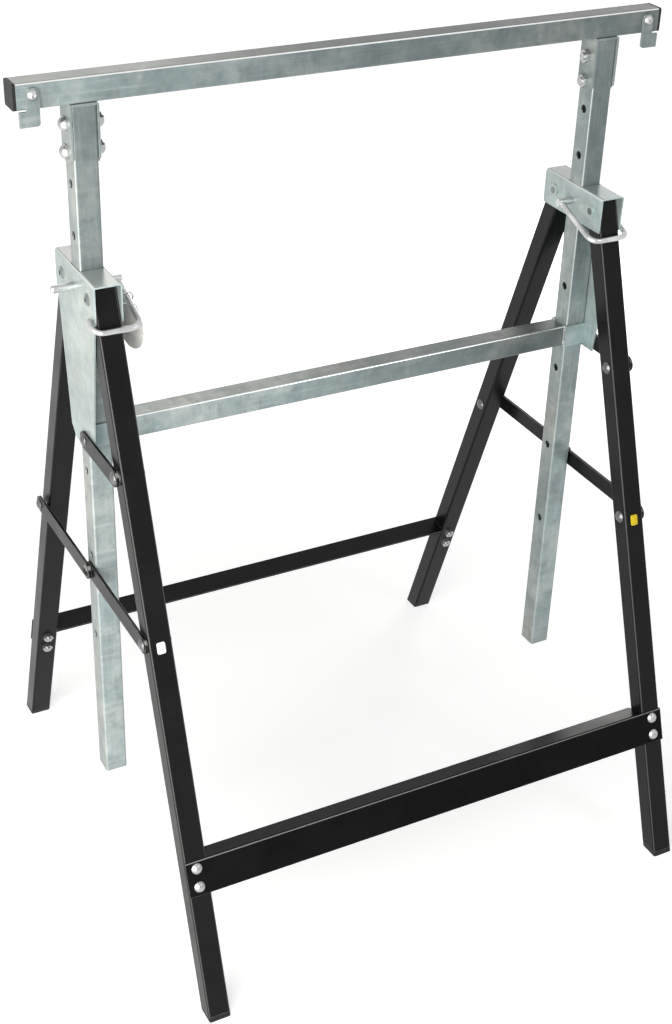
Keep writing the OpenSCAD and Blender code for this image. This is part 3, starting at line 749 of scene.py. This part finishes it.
class TRESTLE_OT_mast(Operator):
    """Galvanise the rail, the uprights, the saddles and the stops"""
    bl_idname = "trestle.mast"
    bl_label = "Rail and uprights"

    def execute(self, context):
        finish = finish_settings()
        zinc = finish.galvanised_colour
        # Painted light on the rail: a highlight along its upper corners, shade on its top and falloff
        # along its length
        give(RAIL_TUBES, galvanised(
            "galvanised rail", zinc, "x", painted_corner_highlight=1.0, painted_top_shade=0.75, fade=RAIL_PAINTED_FALLOFF))
        give(UPRIGHT_TUBES, galvanised("galvanised uprights", zinc, "z", fade=UPRIGHT_PAINTED_FALLOFF))
        give(SADDLES, galvanised("galvanised saddles", zinc, "z"))
        give(STOPS, galvanised("galvanised stops", zinc, "z"))
        return {"FINISHED"}


class TRESTLE_OT_head(Operator):
    """Galvanise the head brackets, their pivot nuts, the guide collars and the crossbar"""
    bl_idname = "trestle.head"
    bl_label = "Head brackets and crossbar"

    def execute(self, context):
        finish = finish_settings()
        # Painted light on the brackets: a highlight on their tops and falloff from front to rear; on
        # the crossbar a highlight along its upper corners and falloff from left to right
        sheet = galvanised(
            "galvanised brackets", finish.sheet_colour, "z", metallic=0.45, painted_top_highlight=0.26, mottle=0.7,
            fade=BRACKET_PAINTED_FALLOFF)
        give(HEAD_SHEETS + PIVOT_NUTS, sheet)
        give(COLLARS, galvanised("galvanised collars", finish.sheet_colour, "z", mottle=0.7))
        give(CROSS_TUBES, galvanised(
            "galvanised crossbar", finish.galvanised_colour, "x", painted_corner_highlight=1.0, fade=CROSS_PAINTED_FALLOFF))
        return {"FINISHED"}


class TRESTLE_OT_legs(Operator):
    """Enamel the legs, the angle bars, the struts and the folding stays"""
    bl_idname = "trestle.legs"
    bl_label = "Legs, bars and stays"

    def execute(self, context):
        finish = finish_settings()
        enamel = black_enamel("black enamel", finish.enamel_colour, finish.chip_and_sheen_colour)
        give(LEGS + REAR_BARS + STAYS + STRUTS + BLACK_RIVETS, enamel)
        give(FRONT_BARS, black_enamel(
            "deep black enamel", finish.enamel_colour, finish.chip_and_sheen_colour, FRONT_BAR_GLOSS))
        return {"FINISHED"}


class TRESTLE_OT_fasteners(Operator):
    """Plate the bolts, nuts, rivets and spacers"""
    bl_idname = "trestle.fasteners"
    bl_label = "Bolts and nuts"

    def execute(self, context):
        finish = finish_settings()
        give(BOLTS, bright_zinc("zinc fasteners", plain_shade(finish.zinc_colour, FASTENER_SHADE)))
        give(RIVETS, bright_zinc(
            "dull rivets", plain_shade(finish.zinc_colour, RIVET_SHADE), metallic=0.8))
        give(PIVOT_BOLTS, bright_zinc(
            "dull pivots", plain_shade(finish.sheet_colour, PIVOT_SHADE), metallic=0.5))
        return {"FINISHED"}


class TRESTLE_OT_pins(Operator):
    """Plate the lock pins, the wire bails and the tag's ring, dull the tag"""
    bl_idname = "trestle.pins"
    bl_label = "Pins, bails and tag"

    def execute(self, context):
        finish = finish_settings()
        give(WIRES, bright_zinc("zinc wire", plain_shade(finish.zinc_colour, WIRE_SHADE)))
        give(TAGS, dull_tag("dull tag", finish.tag_colour))
        return {"FINISHED"}


class TRESTLE_OT_plastics(Operator):
    """Mould the rail's end caps and the feet in black plastic"""
    bl_idname = "trestle.plastics"
    bl_label = "Caps and feet"

    def execute(self, context):
        finish = finish_settings()
        give(CAPS + FEET, matte_plastic("black plastic", finish.plastic_colour))
        return {"FINISHED"}


class TRESTLE_OT_welds(Operator):
    """Weld the crossbar's front and rear edges to the guide collars"""
    bl_idname = "trestle.welds"
    bl_label = "Weld seams"

    def execute(self, context):
        detail = detail_settings()
        metal = weld_metal("weld metal", finish_settings().galvanised_colour)
        low, high = (Vector(corner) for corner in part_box("crossbar"))
        inset = detail.bead_radius
        for side, x in (("l", low.x), ("r", high.x)):
            edges = {
                "front": (Vector((x, low.y, low.z + inset)), Vector((x, low.y, high.z - inset))),
                "rear": (Vector((x, high.y, low.z + inset)), Vector((x, high.y, high.z - inset))),
            }
            for name, (start, end) in edges.items():
                self.seam(f"weld_{name}_{side}", start, end, detail, metal)
        return {"FINISHED"}

    def seam(self, name, start, end, detail, metal):
        def maker(work):
            weld_bead(work, start, end, detail.bead_radius, detail.bead_step)
        add_piece(name, maker, metal, "frame")


class TRESTLE_OT_patches(Operator):
    """Stick a bare marking patch on the front of each front leg"""
    bl_idname = "trestle.patches"
    bl_label = "Marking patches"

    def execute(self, context):
        finish = finish_settings()
        self.patch("patch_left", "front_leg_l", finish.left_patch_colour)
        self.patch("patch_right", "front_leg_r", finish.right_patch_colour)
        return {"FINISHED"}

    def patch(self, name, leg, colour):
        detail = detail_settings()
        centre, across, down, outward = leg_front(leg, detail.patch_level)

        def maker(work):
            rounded_patch(
                work, centre, across, down, outward, detail.patch_width, detail.patch_height,
                detail.patch_corner, detail.patch_thickness)
        add_piece(name, maker, patch_film(name.replace("_", " "), colour), "frame")


# Lamps and floor of the stage

LAMP_AIM = Vector((0.0, 0.0, 0.6))
KEY_PLACE = Vector((-1.2, -0.85, 0.82))
KEY_WIDTH = 1.5
KEY_COLOUR = (1.0, 0.985, 0.955)
EDGE_PLACE = Vector((1.0, -1.58, 1.9))
EDGE_WIDTH = 0.4
EDGE_COLOUR = (0.82, 0.95, 1.0)
BACK_PLACE = Vector((0.5, 2.4, 1.95))
BACK_WIDTH = 0.8
BACK_COLOUR = (1.0, 0.93, 0.85)
SIDE_PLACE = Vector((1.6, 1.3, 0.55))
SIDE_WIDTH = 1.0
SIDE_COLOUR = (1.0, 0.98, 0.96)
FLOOR_COLOUR = (0.6, 0.6, 0.6, 1.0)
FLOOR_CELLS = 4
# How far the floor lies below the feet
FLOOR_DROP = 0.0006
# Height of the picture in the camera, in millimetres
SENSOR_HEIGHT = 36.0


class TRESTLE_OT_stage(Operator):
    """Set the pale floor, the soft lamps and the camera"""
    bl_idname = "trestle.stage"
    bl_label = "Floor, light and camera"

    def execute(self, context):
        scene = context.scene
        scene.view_settings.view_transform = "Standard"
        self.floor()
        self.sky(scene)
        stage = stage_settings()
        self.lamp("key_lamp", KEY_PLACE, KEY_WIDTH, stage.key_power, KEY_COLOUR)
        self.lamp("edge_lamp", EDGE_PLACE, EDGE_WIDTH, stage.edge_power, EDGE_COLOUR)
        self.lamp("back_lamp", BACK_PLACE, BACK_WIDTH, stage.back_power, BACK_COLOUR)
        self.lamp("side_lamp", SIDE_PLACE, SIDE_WIDTH, stage.side_power, SIDE_COLOUR)
        self.camera(scene)
        return {"FINISHED"}

    def seen_directly(self, nodes, links):
        """One for rays that show the background: straight, mirrored or through glass."""
        path = nodes.new("ShaderNodeLightPath")
        total = path.outputs["Is Camera Ray"]
        for key in ("Is Glossy Ray", "Is Transmission Ray"):
            add = nodes.new("ShaderNodeMath")
            add.operation = "MAXIMUM"
            links.new(total, add.inputs[0])
            links.new(path.outputs[key], add.inputs[1])
            total = add.outputs["Value"]
        return total

    def glow_level(self, nodes, links):
        """The floor's glow, which grows away from the trestle as the lamps' light fades."""
        stage = stage_settings()
        place = nodes.new("ShaderNodeTexCoord")
        distance = nodes.new("ShaderNodeVectorMath")
        distance.operation = "LENGTH"
        links.new(place.outputs["Object"], distance.inputs[0])
        level = nodes.new("ShaderNodeMapRange")
        links.new(distance.outputs["Value"], level.inputs["Value"])
        level.inputs["From Max"].default_value = stage.floor_reach
        level.inputs["To Min"].default_value = stage.floor_glow
        return level.outputs["Result"]

    def floor(self):
        stage = stage_settings()
        mesh = bpy.data.meshes.new("floor")
        half = stage.floor_size / 2
        work = bmesh.new()
        bmesh.ops.create_grid(work, x_segments=FLOOR_CELLS, y_segments=FLOOR_CELLS, size=half)
        work.to_mesh(mesh)
        work.free()
        material = bpy.data.materials.new("pale floor")
        material.use_nodes = True
        nodes = material.node_tree.nodes
        links = material.node_tree.links
        nodes.clear()
        output = nodes.new("ShaderNodeOutputMaterial")
        matte = nodes.new("ShaderNodeBsdfDiffuse")
        matte.inputs["Color"].default_value = FLOOR_COLOUR
        glow = nodes.new("ShaderNodeEmission")
        glow.inputs["Color"].default_value = WHITE
        strength = nodes.new("ShaderNodeMath")
        strength.operation = "MULTIPLY"
        links.new(self.seen_directly(nodes, links), strength.inputs[0])
        links.new(self.glow_level(nodes, links), strength.inputs[1])
        links.new(strength.outputs["Value"], glow.inputs["Strength"])
        both = nodes.new("ShaderNodeAddShader")
        links.new(matte.outputs["BSDF"], both.inputs[0])
        links.new(glow.outputs["Emission"], both.inputs[1])
        links.new(both.outputs["Shader"], output.inputs["Surface"])
        mesh.materials.append(material)
        floor = bpy.data.objects.new("floor", mesh)
        floor.location.z = CAD_BOX[0][2] - FLOOR_DROP
        bpy.context.collection.objects.link(floor)

    def sky(self, scene):
        world = bpy.data.worlds.new("studio")
        world.use_nodes = True
        scene.world = world
        nodes = world.node_tree.nodes
        links = world.node_tree.links
        nodes.clear()
        output = nodes.new("ShaderNodeOutputWorld")
        light = nodes.new("ShaderNodeBackground")
        light.inputs["Color"].default_value = WHITE
        level = nodes.new("ShaderNodeMapRange")
        links.new(self.seen_directly(nodes, links), level.inputs["Value"])
        level.inputs["To Min"].default_value = stage_settings().fill_strength
        level.inputs["To Max"].default_value = 1.0
        links.new(level.outputs["Result"], light.inputs["Strength"])
        links.new(light.outputs["Background"], output.inputs["Surface"])

    def lamp(self, name, place, width, power, colour):
        """A square soft lamp that faces the trestle."""
        data = bpy.data.lights.new(name, "AREA")
        data.energy = power
        data.color = colour
        data.size = width
        lamp = bpy.data.objects.new(name, data)
        lamp.location = place
        lamp.rotation_mode = "QUATERNION"
        lamp.rotation_quaternion = (LAMP_AIM - place).to_track_quat("-Z", "Y")
        lamp.visible_camera = False
        bpy.context.collection.objects.link(lamp)

    def camera(self, scene):
        stage = stage_settings()
        data = bpy.data.cameras.new("camera")
        data.sensor_fit = "VERTICAL"
        data.sensor_height = SENSOR_HEIGHT
        data.lens = stage.lens
        data.shift_x, data.shift_y = stage.shift
        data.clip_end = stage.floor_size * 2
        camera = bpy.data.objects.new("camera", data)
        turn = Matrix.Rotation(-stage.camera_turn, 4, "Z")
        dip = Matrix.Rotation(math.pi / 2 - stage.camera_dip, 4, "X")
        roll = Matrix.Rotation(-stage.camera_roll, 4, "Z")
        camera.matrix_world = Matrix.Translation(stage.camera_place) @ turn @ dip @ roll
        bpy.context.collection.objects.link(camera)
        scene.camera = camera


class TRESTLE_PT_panel(Panel):
    """Steps that dress the trestle"""
    bl_idname = "TRESTLE_PT_panel"
    bl_label = "Builders trestle"
    bl_space_type = "VIEW_3D"
    bl_region_type = "UI"
    bl_category = "Trestle"

    def draw(self, context):
        column = self.layout.column()
        for operator in STEPS:
            column.operator(operator.bl_idname)
        for group in (finish_settings(), detail_settings(), stage_settings()):
            box = self.layout.box()
            for key in group.bl_rna.properties.keys():
                if key not in ("rna_type", "name"):
                    box.prop(group, key)


STEPS = (
    TRESTLE_OT_mast, TRESTLE_OT_head, TRESTLE_OT_legs, TRESTLE_OT_fasteners, TRESTLE_OT_pins,
    TRESTLE_OT_plastics, TRESTLE_OT_welds, TRESTLE_OT_patches, TRESTLE_OT_stage,
)
GROUPS = {
    "trestle_finish": TrestleFinish,
    "trestle_detail": TrestleDetail,
    "trestle_stage": TrestleStage,
}
CLASSES = tuple(GROUPS.values()) + STEPS + (TRESTLE_PT_panel,)


def register():
    for cls in CLASSES:
        bpy.utils.register_class(cls)
    for key, group in GROUPS.items():
        setattr(bpy.types.Scene, key, PointerProperty(type=group))


def unregister():
    for key in GROUPS:
        delattr(bpy.types.Scene, key)
    for cls in reversed(CLASSES):
        bpy.utils.unregister_class(cls)


def main():
    register()
    bpy.ops.trestle.mast()
    bpy.ops.trestle.head()
    bpy.ops.trestle.legs()
    bpy.ops.trestle.fasteners()
    bpy.ops.trestle.pins()
    bpy.ops.trestle.plastics()
    bpy.ops.trestle.welds()
    bpy.ops.trestle.patches()
    bpy.ops.trestle.stage()


if __name__ == "__main__":
    main()
